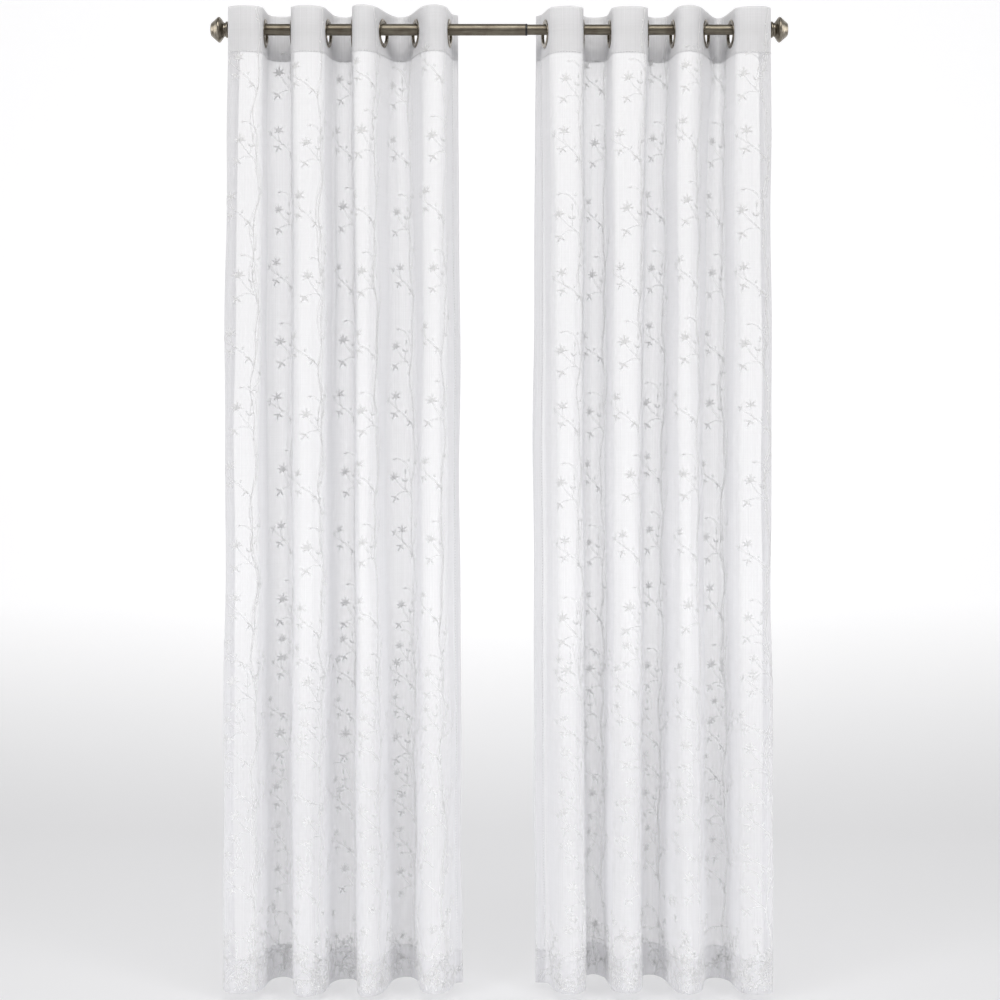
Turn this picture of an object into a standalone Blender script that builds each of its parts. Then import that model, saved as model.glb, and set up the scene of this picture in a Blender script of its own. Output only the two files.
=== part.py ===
"""A pair of sheer voile curtains with eyelet headings, hung on a telescoping rod.

The origin is the middle of the rod's axis. X runs along the rod to the right, Y goes
away from the room towards the window, and Z is up. Every length is in metres.
"""

import math
from collections import namedtuple

import bmesh
import bpy
from mathutils import Euler, Matrix, Vector

# ---- driving sizes -------------------------------------------------------------------

MM = 0.001
GAP = 0.3 * MM  # clearance between pieces that meet
MERGE = 0.01 * MM  # closes the seam of a turned shape

# The rod: a 1 in tube on the left, and a thinner one that slides in it on the right.
OUTER_TUBE_RADIUS = 12.7 * MM
OUTER_TUBE_WALL = 0.9 * MM
INNER_TUBE_RADIUS = 11.4 * MM
INNER_TUBE_WALL = 0.9 * MM
TUBE_JOINT_X = 60 * MM  # where the outer tube ends
TUBE_OVERLAP = 300 * MM  # how much of the inner tube is inside the outer one
LEFT_SEAT_X = -595 * MM  # where each finial's collar meets its tube
RIGHT_SEAT_X = 592 * MM
TUBE_FACETS = 36

# The finials, as (distance out from the collar's seat, radius), both in millimetres.
FINIAL_OUTLINE = (
    (0.0, 17.2),  # collar
    (4.5, 18.0),
    (5.5, 15.8),  # neck
    (9.0, 15.8),
    (13.5, 22.0),  # flare
    (17.5, 27.2),
    (20.0, 28.0),  # widest
    (24.0, 25.5),  # dome
    (30.0, 20.0),
    (35.0, 15.5),
    (38.0, 12.7),  # flat end
)
FINIAL_PLUG_LENGTH = 15 * MM
FINIAL_PLUG_PLAY = 0.5 * MM
FINIAL_FACETS = 24

# Each panel is cut 50 in wide and hangs 84 in long.
PANEL_LENGTH = 2134 * MM
VOILE_THICKNESS = 1.2 * MM
HEADING_DEPTH = 102 * MM
HEADING_THICKNESS = 2.0 * MM
HEADING_ABOVE_EYELET = 50 * MM  # from an eyelet's centre up to the top edge
EYELET_PITCH = 165 * MM  # cloth between one eyelet's centre and the next

# Eyelets, turned rings with a flange on each face of the heading.
EYELET_OPENING_RADIUS = 21.5 * MM
EYELET_BARREL_WALL = 1.2 * MM
EYELET_FLANGE_RADIUS = 31.3 * MM
EYELET_CROWN_RADIUS = 29.0 * MM
EYELET_CROWN_RISE = 2.1 * MM
EYELET_LIP_RISE = 1.5 * MM
EYELET_FACETS = 16

# How the folds soften on the way down.
HEADING_FLAT = 33 * MM  # straight cloth on each side of an eyelet's centre
FOOT_FLAT = 17 * MM
MIDDLE_AT = 0.45  # the share of the drop at which the middle column of a table holds
FOLD_STEPS = 7  # pieces that one fold's curve is drawn in
EDGE_STEPS = 3
PANEL_LEVELS = (0.0, 0.07, 0.18, 0.32, 0.47, 0.62, 0.78, 0.9, 1.0)  # shares of the drop

# Where the cloth passes through the rod's plane, in millimetres along X at the heading,
# half way down and at the foot. Slants are degrees off square to the rod, positive where
# a fold is narrower at its crest than at the rod. The dip is how far the hem hangs below
# its even length. The foot cloth is what the fold after the crossing takes up at the
# foot, where no eyelet holds the cloth to its even spacing.
Crossing = namedtuple(
    "Crossing",
    "heading_x middle_x foot_x heading_slant foot_slant hem_dip foot_cloth",
)
# The free edge of a panel, behind the rod.
Edge = namedtuple("Edge", "heading_x middle_x foot_x heading_y foot_y hem_dip")
Panel = namedtuple("Panel", "tube_radius first_edge crossings last_edge")

LEFT_PANEL = Panel(
    OUTER_TUBE_RADIUS,
    Edge(-577, -588, -588, 55, 44, 0),
    (
        Crossing(-586, -596, -601, -7.0, -5.0, 0, 165),
        Crossing(-514.5, -517, -515, 1.5, 6.0, 2, 168),
        Crossing(-454.5, -453, -452, 1.0, 2.0, 4, 165),
        Crossing(-376.5, -374, -379, 8.0, 8.0, 6, 160),
        Crossing(-322, -316, -311, 2.0, 1.0, 6, 165),
        Crossing(-256, -257, -246, 16.0, 9.0, 3, 165),
        Crossing(-184, -177, -177, 17.0, 6.0, 1, 160),
        Crossing(-111.5, -108, -103, 7.0, 8.0, 1, 0),
    ),
    Edge(-93, -89, -84, 52, 42, 5),
)
RIGHT_PANEL = Panel(
    INNER_TUBE_RADIUS,
    Edge(80, 74, 78, 55, 44, 5),
    (
        Crossing(99.5, 107, 111.5, 12.0, 10.0, 1, 165),
        Crossing(181.5, 181.5, 185, 1.0, 0.0, -2, 170),
        Crossing(241, 239, 237.5, 3.5, 8.0, -3, 165),
        Crossing(322, 310, 307.5, 2.0, 1.0, -3, 165),
        Crossing(379, 372, 368, 6.0, 10.0, -3, 172),
        Crossing(451, 440, 444.5, 18.5, 9.0, -1, 148),
        Crossing(506, 506, 512, 8.0, 6.0, 1, 172),
        Crossing(583, 588, 592, -8.0, -5.0, 0, 0),
    ),
    Edge(574, 580, 581, 55, 44, 0),
)


# ---- materials -----------------------------------------------------------------------


def material(name, colour, roughness, metallic=0.0, alpha=1.0):
    """One Principled material; colour is linear red, green and blue."""
    made = bpy.data.materials.new(name)
    made.use_nodes = True
    shader = made.node_tree.nodes["Principled BSDF"]
    shader.inputs["Base Color"].default_value = (*colour, 1.0)
    shader.inputs["Roughness"].default_value = roughness
    shader.inputs["Metallic"].default_value = metallic
    shader.inputs["Alpha"].default_value = alpha
    made.diffuse_color = (*colour, alpha)
    return made


# ---- shapes --------------------------------------------------------------------------


def finished(name, mesh, made_of, root, place=None, turn=(0.0, 0.0, 0.0)):
    """A named object of this mesh, placed and turned under the root empty."""
    piece = bpy.data.objects.new(name, mesh)
    bpy.context.scene.collection.objects.link(piece)
    piece.parent = root
    piece.location = place or Vector()
    piece.rotation_euler = Euler(turn)
    if made_of and not mesh.materials:
        mesh.materials.append(made_of)
    return piece


def turned_mesh(name, outline, facets, closed):
    """A shape turned about its own Z axis from an outline of (radius, height).

    A flat facet, not a corner, faces along each of the X directions.
    """
    shape = bmesh.new()
    start = Matrix.Rotation(math.pi / facets, 3, "Z")
    ring = [shape.verts.new(start @ Vector((r, 0.0, h))) for r, h in outline]
    pairs = list(zip(ring, ring[1:] + ring[:1] if closed else ring[1:]))
    edges = [shape.edges.new(pair) for pair in pairs]
    bmesh.ops.spin(
        shape,
        geom=ring + edges,
        cent=(0, 0, 0),
        axis=(0, 0, 1),
        angle=2 * math.pi,
        steps=facets,
    )
    bmesh.ops.remove_doubles(shape, verts=shape.verts, dist=MERGE)
    bmesh.ops.recalc_face_normals(shape, faces=shape.faces)
    mesh = bpy.data.meshes.new(name)
    shape.to_mesh(mesh)
    shape.free()
    mesh.shade_smooth()
    mesh.set_sharp_from_angle(angle=math.radians(35))
    return mesh


def tube_mesh(name, radius, wall, length):
    """A plain tube that starts at the origin and runs up Z."""
    bore = radius - wall
    outline = ((bore, 0.0), (radius, 0.0), (radius, length), (bore, length))
    return turned_mesh(name, outline, TUBE_FACETS, closed=True)


def finial_mesh(name, bore_radius):
    """A finial that stands out along Z from its seat, with a plug that fills the tube."""
    plug = bore_radius - FINIAL_PLUG_PLAY
    outline = [(0.0, -FINIAL_PLUG_LENGTH), (plug, -FINIAL_PLUG_LENGTH), (plug, 0.0)]
    outline += [(radius * MM, out * MM) for out, radius in FINIAL_OUTLINE]
    outline.append((0.0, outline[-1][1]))
    return turned_mesh(name, outline, FINIAL_FACETS, closed=False)


def eyelet_mesh(name):
    """A ring of U section that clamps the heading between its two flanges."""
    face = HEADING_THICKNESS / 2 + GAP
    barrel = EYELET_OPENING_RADIUS + EYELET_BARREL_WALL
    half = (
        (EYELET_OPENING_RADIUS, face + EYELET_LIP_RISE),
        (EYELET_CROWN_RADIUS, face + EYELET_CROWN_RISE),
        (EYELET_FLANGE_RADIUS, face),
        (barrel, face),
    )
    other_half = [(radius, -height) for radius, height in reversed(half)]
    return turned_mesh(name, [*half, *other_half], EYELET_FACETS, closed=True)


# ---- the folds -----------------------------------------------------------------------


def between_levels(heading, middle, foot, drop):
    """A table's value at this share of the drop, easing quickly below the heading."""
    if drop < MIDDLE_AT:
        ease = 1 - (1 - drop / MIDDLE_AT) ** 2
        return heading + (middle - heading) * ease
    share = (drop - MIDDLE_AT) / (1 - MIDDLE_AT)
    ease = share * share * (3 - 2 * share)
    return middle + (foot - middle) * ease


def bezier(a, b, c, d, steps):
    """The points after a on a cubic Bezier curve, d included."""
    found = []
    for step in range(1, steps + 1):
        t = step / steps
        u = 1 - t
        found.append(a * u**3 + b * 3 * u * u * t + c * 3 * u * t * t + d * t**3)
    return found


def spread(start, end, steps):
    """The values after start that lead evenly to end."""
    return [start + (end - start) * (step + 1) / steps for step in range(steps)]


def run_length(points):
    return sum((q - p).length for p, q in zip(points, points[1:]))


def fold_curve(start, start_way, end, end_way, cloth):
    """One fold between two straight runs, bowed out until it takes up this much cloth."""
    low, high = 0.0, 2 * cloth
    for _ in range(40):
        reach = (low + high) / 2
        handles = (start + start_way * reach, end - end_way * reach)
        curve = bezier(start, *handles, end, FOLD_STEPS)
        if run_length([start, *curve]) < cloth:
            low = reach
        else:
            high = reach
    return curve


def crossing_place(index, crossing, drop):
    """Where the cloth crosses the rod's plane, and the way it goes, seen from above."""
    x = between_levels(crossing.heading_x, crossing.middle_x, crossing.foot_x, drop)
    slant = crossing.heading_slant
    slant += (crossing.foot_slant - slant) * min(1.0, drop / MIDDLE_AT)
    angle = math.radians(slant)
    forward = -1 if index % 2 == 0 else 1  # even crossings come to the front
    way = Vector((math.sin(angle), forward * math.cos(angle)))
    return Vector((x * MM, 0.0)), way


def edge_place(edge, drop):
    x = between_levels(edge.heading_x, edge.middle_x, edge.foot_x, drop)
    y = edge.heading_y + (edge.foot_y - edge.heading_y) * drop
    return Vector((x, y)) * MM


def edge_curve(start, way, end):
    """The short run from the last straight part to the panel's free edge."""
    reach = (end - start).length / 2
    return bezier(start, start + way * reach, end - way * reach / 2, end, EDGE_STEPS)


def fold_section(panel, drop):
    """The cloth's line seen from above at this share of the drop, as (x, y, hem dip)."""
    flat = HEADING_FLAT + (FOOT_FLAT - HEADING_FLAT) * min(1.0, drop / MIDDLE_AT)
    places = [crossing_place(i, c, drop) for i, c in enumerate(panel.crossings)]
    dips = [c.hem_dip for c in panel.crossings]

    place, way = places[0]
    start = place - way * flat
    lead = edge_curve(start, -way, edge_place(panel.first_edge, drop))
    lead_dips = spread(dips[0], panel.first_edge.hem_dip, EDGE_STEPS)
    line = [*reversed(lead), start]
    line_dips = [*reversed(lead_dips), dips[0]]

    for i, (place, way) in enumerate(places):
        line.append(place + way * flat)
        line_dips.append(dips[i])
        if i + 1 < len(places):
            next_place, next_way = places[i + 1]
            end = next_place - next_way * flat
            shift = panel.crossings[i].foot_cloth * MM - EYELET_PITCH
            cloth = EYELET_PITCH + shift * drop - 2 * flat
            line += fold_curve(line[-1], way, end, next_way, cloth)
            line_dips += spread(dips[i], dips[i + 1], FOLD_STEPS)

    way = places[-1][1]
    line += edge_curve(line[-1], way, edge_place(panel.last_edge, drop))
    line_dips += spread(dips[-1], panel.last_edge.hem_dip, EDGE_STEPS)
    return [(p.x, p.y, dip * MM) for p, dip in zip(line, line_dips)]


def sheet_object(name, rows, thickness, made_of, root):
    """A sheet of this thickness through rows of points, the top row first."""
    shape = bmesh.new()
    grid = [[shape.verts.new(point) for point in row] for row in rows]
    for upper, lower in zip(grid, grid[1:]):
        for i in range(len(upper) - 1):
            shape.faces.new((upper[i], lower[i], lower[i + 1], upper[i + 1]))
    mesh = bpy.data.meshes.new(name)
    shape.to_mesh(mesh)
    shape.free()
    piece = finished(name, mesh, made_of, root)
    solid = piece.modifiers.new("thickness", "SOLIDIFY")
    solid.thickness = thickness
    solid.offset = 0.0
    solid.use_even_offset = True
    return piece


def hanging_height(panel):
    """The height of a panel's eyelet centres, each resting on its tube's top."""
    flat_facet = EYELET_OPENING_RADIUS * math.cos(math.pi / EYELET_FACETS)
    return panel.tube_radius + GAP - flat_facet


def eyelet_turns(panel):
    """The turn about Z of each eyelet, square to the cloth that it is clinched in."""
    slants = [math.radians(c.heading_slant) for c in panel.crossings]
    return [slant if i % 2 == 0 else -slant for i, slant in enumerate(slants)]


def heading_object(side, panel, made_of, root):
    """The pierced strip that carries the eyelets."""
    top = hanging_height(panel) + HEADING_ABOVE_EYELET
    line = fold_section(panel, 0.0)
    rows = [[(x, y, z) for x, y, _ in line] for z in (top, top - HEADING_DEPTH)]
    strip = sheet_object(f"heading_{side}", rows, HEADING_THICKNESS, made_of, root)
    radius = EYELET_OPENING_RADIUS + EYELET_BARREL_WALL + GAP
    reach = 4 * HEADING_THICKNESS
    outline = ((0.0, -reach), (radius, -reach), (radius, reach), (0.0, reach))
    punch_mesh = turned_mesh(f"punch_{side}", outline, EYELET_FACETS, closed=False)
    for i, turn in enumerate(eyelet_turns(panel)):
        place = (panel.crossings[i].heading_x * MM, 0.0, hanging_height(panel))
        way = (0.0, math.pi / 2, turn)
        punch = finished(f"punch_{side}_{i + 1}", punch_mesh, None, root, place, way)
        punch.hide_render = True
        punch.display_type = "WIRE"
        hole = strip.modifiers.new(f"hole_{i + 1}", "BOOLEAN")
        hole.operation = "DIFFERENCE"
        hole.object = punch
    return strip


def panel_object(side, panel, made_of, root):
    """The voile below the heading, down to its hem."""
    heading_top = hanging_height(panel) + HEADING_ABOVE_EYELET
    top = heading_top - HEADING_DEPTH - GAP
    fall = PANEL_LENGTH - HEADING_DEPTH - GAP
    rows = []
    for drop in PANEL_LEVELS:
        line = fold_section(panel, drop)
        rows.append([(x, y, top - drop * (fall + dip)) for x, y, dip in line])
    return sheet_object(f"panel_{side}", rows, VOILE_THICKNESS, made_of, root)


def eyelet_objects(side, panel, made_of, root):
    mesh = eyelet_mesh(f"eyelet_{side}")
    for i, turn in enumerate(eyelet_turns(panel)):
        place = (panel.crossings[i].heading_x * MM, 0.0, hanging_height(panel))
        way = (0.0, math.pi / 2, turn)
        finished(f"eyelet_{side}_{i + 1}", mesh, made_of, root, place, way)


def rod_objects(made_of, root):
    """The two tubes, and a finial plugged into the outer end of each."""
    along = (0.0, math.pi / 2, 0.0)
    outer_start = LEFT_SEAT_X + GAP
    outer = tube_mesh(
        "rod_outer_tube", OUTER_TUBE_RADIUS, OUTER_TUBE_WALL, TUBE_JOINT_X - outer_start
    )
    finished("rod_outer_tube", outer, made_of, root, (outer_start, 0.0, 0.0), along)

    inner_start = TUBE_JOINT_X - TUBE_OVERLAP
    inner_length = RIGHT_SEAT_X - GAP - inner_start
    inner = tube_mesh(
        "rod_inner_tube", INNER_TUBE_RADIUS, INNER_TUBE_WALL, inner_length
    )
    finished("rod_inner_tube", inner, made_of, root, (inner_start, 0.0, 0.0), along)

    left = finial_mesh("finial_left", OUTER_TUBE_RADIUS - OUTER_TUBE_WALL)
    outwards = (0.0, -math.pi / 2, 0.0)
    finished("finial_left", left, made_of, root, (LEFT_SEAT_X, 0.0, 0.0), outwards)
    right = finial_mesh("finial_right", INNER_TUBE_RADIUS - INNER_TUBE_WALL)
    finished("finial_right", right, made_of, root, (RIGHT_SEAT_X, 0.0, 0.0), along)


def main():
    for old in list(bpy.data.objects):
        bpy.data.objects.remove(old, do_unlink=True)
    root = bpy.data.objects.new("curtain_pair", None)
    bpy.context.scene.collection.objects.link(root)

    rod_metal = material("brushed pewter plate", (0.24, 0.21, 0.17), 0.38, 1.0)
    eyelet_metal = material("polished pewter plate", (0.33, 0.31, 0.26), 0.3, 1.0)
    voile = material("polyester voile", (0.86, 0.86, 0.88), 0.9, alpha=0.75)
    lined_voile = material("voile over heading tape", (0.8, 0.8, 0.82), 0.9)

    rod_objects(rod_metal, root)
    for side, panel in (("left", LEFT_PANEL), ("right", RIGHT_PANEL)):
        heading_object(side, panel, lined_voile, root)
        panel_object(side, panel, voile, root)
        eyelet_objects(side, panel, eyelet_metal, root)


main()
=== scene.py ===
"""A pair of embroidered sheer voile curtains with eyelet headings, hung on a telescoping rod.

Lengths in the tables are millimetres and lengths in the model are metres. X runs along the
rod to the right, Y goes away from the room and Z is up. A place on a panel's flat cloth is
given across from its left edge and down from its top edge.
"""

import math
import random
from collections import namedtuple

import bpy
import numpy as np
from mathutils import Matrix, Vector


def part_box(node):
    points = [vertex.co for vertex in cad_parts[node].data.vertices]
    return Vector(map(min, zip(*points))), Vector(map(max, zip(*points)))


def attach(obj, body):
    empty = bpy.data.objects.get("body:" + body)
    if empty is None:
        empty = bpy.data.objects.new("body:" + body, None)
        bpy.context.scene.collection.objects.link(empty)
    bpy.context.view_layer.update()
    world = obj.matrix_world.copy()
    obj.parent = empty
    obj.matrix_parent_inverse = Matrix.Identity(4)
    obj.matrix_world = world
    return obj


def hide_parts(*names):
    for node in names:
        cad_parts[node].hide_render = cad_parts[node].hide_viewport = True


bl_info = {
    "name": "Embroidered eyelet curtains",
    "version": (1, 0, 0),
    "blender": (4, 5, 0),
    "location": "3D View > Sidebar > Curtains",
    "description": "Builds a pair of sheer eyelet curtains on a rod, and a plain studio",
    "category": "Add Mesh",
}

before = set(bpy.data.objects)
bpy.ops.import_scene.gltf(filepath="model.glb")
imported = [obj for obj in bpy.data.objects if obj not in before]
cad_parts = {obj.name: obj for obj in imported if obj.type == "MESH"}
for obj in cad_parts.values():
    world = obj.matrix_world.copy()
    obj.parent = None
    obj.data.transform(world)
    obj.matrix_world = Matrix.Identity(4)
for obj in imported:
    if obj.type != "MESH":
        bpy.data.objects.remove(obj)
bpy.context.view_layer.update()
MM = 0.001
SIDES = ("left", "right")

# ---- the folds, placed one by one ------------------------------------------------------

# Where the cloth passes through the rod's plane: its X at the heading, half way down and at
# the foot, its slant in degrees off square to the rod, how far its hem dips, and the cloth
# that the fold after it takes up at the foot.
Crossing = namedtuple(
    "Crossing",
    "heading_x middle_x foot_x heading_slant foot_slant hem_dip foot_cloth",
)
# The free edge of a panel, behind the rod.
Edge = namedtuple("Edge", "heading_x middle_x foot_x heading_y foot_y hem_dip")
# A soft ridge (out is positive) or trough (out is negative) that runs down the cloth.
Crease = namedtuple("Crease", "across top foot drift width out")
Panel = namedtuple("Panel", "tube_radius first_edge crossings last_edge creases")

LEFT_PANEL = Panel(
    12.7,
    Edge(-577, -588, -588, 55, 44, 0),
    (
        Crossing(-586, -596, -601, -7.0, -5.0, 0, 165),
        Crossing(-514.5, -517, -515, 1.5, 6.0, 2, 168),
        Crossing(-454.5, -453, -452, 1.0, 2.0, 4, 165),
        Crossing(-376.5, -374, -379, 8.0, 8.0, 6, 160),
        Crossing(-322, -316, -311, 2.0, 1.0, 6, 165),
        Crossing(-256, -257, -246, 16.0, 9.0, 3, 165),
        Crossing(-184, -177, -177, 17.0, 6.0, 1, 160),
        Crossing(-111.5, -108, -103, 7.0, 8.0, 1, 0),
    ),
    Edge(-93, -89, -84, 52, 42, 5),
    (
        Crease(112, 130, 2134, 6, 9, 2.6),
        Crease(150, 170, 1500, -8, 7, -2.2),
        Crease(178, 420, 2134, 5, 8, 2.4),
        Crease(262, 110, 1250, 10, 11, -2.8),
        Crease(318, 700, 2134, -9, 9, 2.2),
        Crease(452, 120, 1900, 7, 8, 2.4),
        Crease(492, 300, 2134, -6, 10, -2.4),
        Crease(600, 115, 980, 9, 10, 2.6),
        Crease(655, 800, 2134, 6, 8, -2.0),
        Crease(782, 120, 2134, -7, 8, 2.4),
        Crease(826, 120, 1400, 8, 9, -2.2),
        Crease(948, 160, 2000, 6, 11, 2.6),
        Crease(1106, 120, 2134, -6, 9, 2.4),
        Crease(1150, 400, 1800, 6, 8, -2.2),
    ),
)
RIGHT_PANEL = Panel(
    11.4,
    Edge(80, 74, 78, 55, 44, 5),
    (
        Crossing(99.5, 107, 111.5, 12.0, 10.0, 1, 165),
        Crossing(181.5, 181.5, 185, 1.0, 0.0, -2, 170),
        Crossing(241, 239, 237.5, 3.5, 8.0, -3, 165),
        Crossing(322, 310, 307.5, 2.0, 1.0, -3, 165),
        Crossing(379, 372, 368, 6.0, 10.0, -3, 172),
        Crossing(451, 440, 444.5, 18.5, 9.0, -1, 148),
        Crossing(506, 506, 512, 8.0, 6.0, 1, 172),
        Crossing(583, 588, 592, -8.0, -5.0, 0, 0),
    ),
    Edge(574, 580, 581, 55, 44, 0),
    (
        Crease(118, 120, 1700, 5, 8, 2.4),
        Crease(160, 500, 2134, -7, 9, -2.2),
        Crease(296, 110, 1500, -6, 10, 2.6),
        Crease(340, 600, 2134, 8, 9, -2.2),
        Crease(436, 120, 2134, 6, 8, 2.4),
        Crease(478, 120, 1200, -8, 9, -2.4),
        Crease(622, 130, 2000, 7, 10, 2.4),
        Crease(778, 120, 1500, 6, 8, 2.4),
        Crease(818, 500, 2134, -6, 9, -2.2),
        Crease(940, 115, 1900, 8, 11, -2.8),
        Crease(990, 300, 2134, 5, 8, 2.2),
        Crease(1098, 120, 2134, -6, 9, 2.6),
        Crease(1130, 120, 1500, 7, 7, -2.4),
        Crease(1162, 600, 2134, 5, 8, 2.4),
    ),
)
PANELS = dict(zip(SIDES, (LEFT_PANEL, RIGHT_PANEL)))

EYELETS = 8
EYELET_FACETS = 16  # of the plain model's eyelets, which rest a flat on the tube
MIDDLE_AT = 0.45  # the share of the drop at which the middle column of a table holds
FOLD_STEPS = 18
EDGE_STEPS = 6
FLAT_AT_HEADING, FLAT_AT_FOOT = 33, 17  # straight cloth beside each crossing
GAP = 0.3 * MM


# ---- sizes and colours -----------------------------------------------------------------


def linear(hex_colour):
    """A linear red, green and blue from an sRGB hex colour."""
    parts = [int(hex_colour[i : i + 2], 16) / 255 for i in (1, 3, 5)]
    return tuple(p / 12.92 if p <= 0.04045 else ((p + 0.055) / 1.055) ** 2.4 for p in parts)


def length_property(name, description, default_mm):
    return bpy.props.FloatProperty(
        name=name, description=description, default=default_mm * MM, min=0.0, unit="LENGTH"
    )


def colour_property(name, description, hex_colour):
    return bpy.props.FloatVectorProperty(
        name=name,
        description=description,
        default=linear(hex_colour),
        min=0.0,
        max=1.0,
        subtype="COLOR",
    )


class ClothSizes(bpy.types.PropertyGroup):
    """Sizes of the cut and sewn panels."""

    width: length_property("Width", "Finished width of a panel laid flat", 1270)
    length: length_property("Length", "Finished length of a panel", 2134)
    heading: length_property("Heading", "Depth of the turned heading and its tape", 102)
    bottom_hem: length_property("Bottom hem", "Depth of the bottom hem", 75)
    side_hem: length_property("Side hem", "Width of each side hem", 25)
    eyelet_drop: length_property("Eyelet drop", "Top edge to an eyelet's centre", 50)
    eyelet_pitch: length_property("Eyelet pitch", "Cloth between eyelet centres", 165)
    layer_gap: length_property("Layer gap", "Spacing of sewn layers", 0.4)
    grid: length_property("Grid", "Spacing of the cloth's mesh across a panel", 4)


class EyeletSizes(bpy.types.PropertyGroup):
    """Sizes of one clinched eyelet."""

    opening: length_property("Opening", "Radius of the opening", 21.5)
    flange: length_property("Flange", "Outer radius of the flange", 31.3)
    grip: length_property("Grip", "Gap between the two flanges", 2.6)
    rise: length_property("Rise", "How far the flange bows out", 2.1)
    hole: length_property("Hole", "Radius of the hole in the cloth", 25.5)


class RodSizes(bpy.types.PropertyGroup):
    """Sizes of the two tubes and their finials."""

    outer_radius: length_property("Outer radius", "Radius of the thick tube", 12.7)
    inner_radius: length_property("Inner radius", "Radius of the sliding tube", 11.4)
    wall: length_property("Wall", "Wall of both tubes", 0.9)
    overlap: length_property("Overlap", "Sliding tube inside the thick one", 300)
    ring_width: length_property("Ring width", "Width of the end ring at the joint", 4.5)


class ThreadSizes(bpy.types.PropertyGroup):
    """Sizes of the embroidery."""

    stem: length_property("Stem", "Width of a climbing stem", 2.3)
    vine: length_property("Vine", "Width of a border vine", 1.7)
    rise: length_property("Rise", "How far satin stitch stands off the voile", 0.55)
    repeat: length_property("Repeat", "Height of one full repeat of sprigs", 292)
    border: length_property("Border", "Height of the dense border", 205)


class Finishes(bpy.types.PropertyGroup):
    """Colours of the materials."""

    voile: colour_property("Voile", "White polyester voile", "#EDEDEF")
    thread: colour_property("Thread", "White embroidery thread", "#F5F5F5")
    tape: colour_property("Tape", "White heading tape", "#FAFAFA")
    pewter: colour_property("Pewter", "Light parts of the pewter plate", "#8E887A")
    pewter_pale: colour_property("Pale pewter", "Finials and eyelets, more polished", "#B4AD9F")
    pewter_dark: colour_property("Dark pewter", "Dark parts of the plate", "#5A5146")
    nylon: colour_property("Nylon", "Black nylon of the joint's ring", "#15120F")
    backdrop: colour_property("Backdrop", "Light of the studio backdrop", "#FFFFFF")
    paper: colour_property("Paper", "Studio paper", "#B0B0B2")


GROUPS = {
    "cloth_sizes": ClothSizes,
    "eyelet_sizes": EyeletSizes,
    "rod_sizes": RodSizes,
    "thread_sizes": ThreadSizes,
    "finishes": Finishes,
}


def sizes(name):
    return getattr(bpy.context.scene, name)


def in_mm(group, *names):
    """These sizes of a group, in millimetres."""
    return [getattr(sizes(group), name) / MM for name in names]


# ---- the hung cloth --------------------------------------------------------------------


def between_levels(heading, middle, foot, drop):
    """A table's value at this share of the drop, easing quickly below the heading."""
    if drop < MIDDLE_AT:
        ease = 1 - (1 - drop / MIDDLE_AT) ** 2
        return heading + (middle - heading) * ease
    share = (drop - MIDDLE_AT) / (1 - MIDDLE_AT)
    ease = share * share * (3 - 2 * share)
    return middle + (foot - middle) * ease


def bezier(a, b, c, d, steps):
    """Points of a cubic Bezier curve from a to d, both included."""
    t = np.linspace(0.0, 1.0, steps + 1)[:, None]
    u = 1 - t
    return a * u**3 + b * 3 * u * u * t + c * 3 * u * t * t + d * t**3


def run_length(points):
    return float(np.linalg.norm(np.diff(points, axis=0), axis=1).sum())


def fold_curve(start, start_way, end, end_way, cloth):
    """One fold between two straight runs, bowed out until it takes up this much cloth."""
    low, high = 0.0, 2 * cloth
    for _ in range(26):
        reach = (low + high) / 2
        curve = bezier(start, start + start_way * reach, end - end_way * reach, end, FOLD_STEPS)
        if run_length(curve) < cloth:
            low = reach
        else:
            high = reach
    return curve


def crossing_place(index, crossing, drop):
    """Where the cloth crosses the rod's plane, and the way it goes, seen from above."""
    x = between_levels(crossing.heading_x, crossing.middle_x, crossing.foot_x, drop)
    slant = crossing.heading_slant
    slant += (crossing.foot_slant - slant) * min(1.0, drop / MIDDLE_AT)
    angle = math.radians(slant)
    forward = -1 if index % 2 == 0 else 1  # even crossings come to the front
    return np.array((x, 0.0)), np.array((math.sin(angle), forward * math.cos(angle)))


def edge_curve(start, way, edge, drop):
    """The short run from the last straight part to the panel's free edge."""
    x = between_levels(edge.heading_x, edge.middle_x, edge.foot_x, drop)
    end = np.array((x, edge.heading_y + (edge.foot_y - edge.heading_y) * drop))
    reach = np.linalg.norm(end - start) / 2
    return bezier(start, start + way * reach, end - way * reach / 2, end, EDGE_STEPS)


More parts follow.
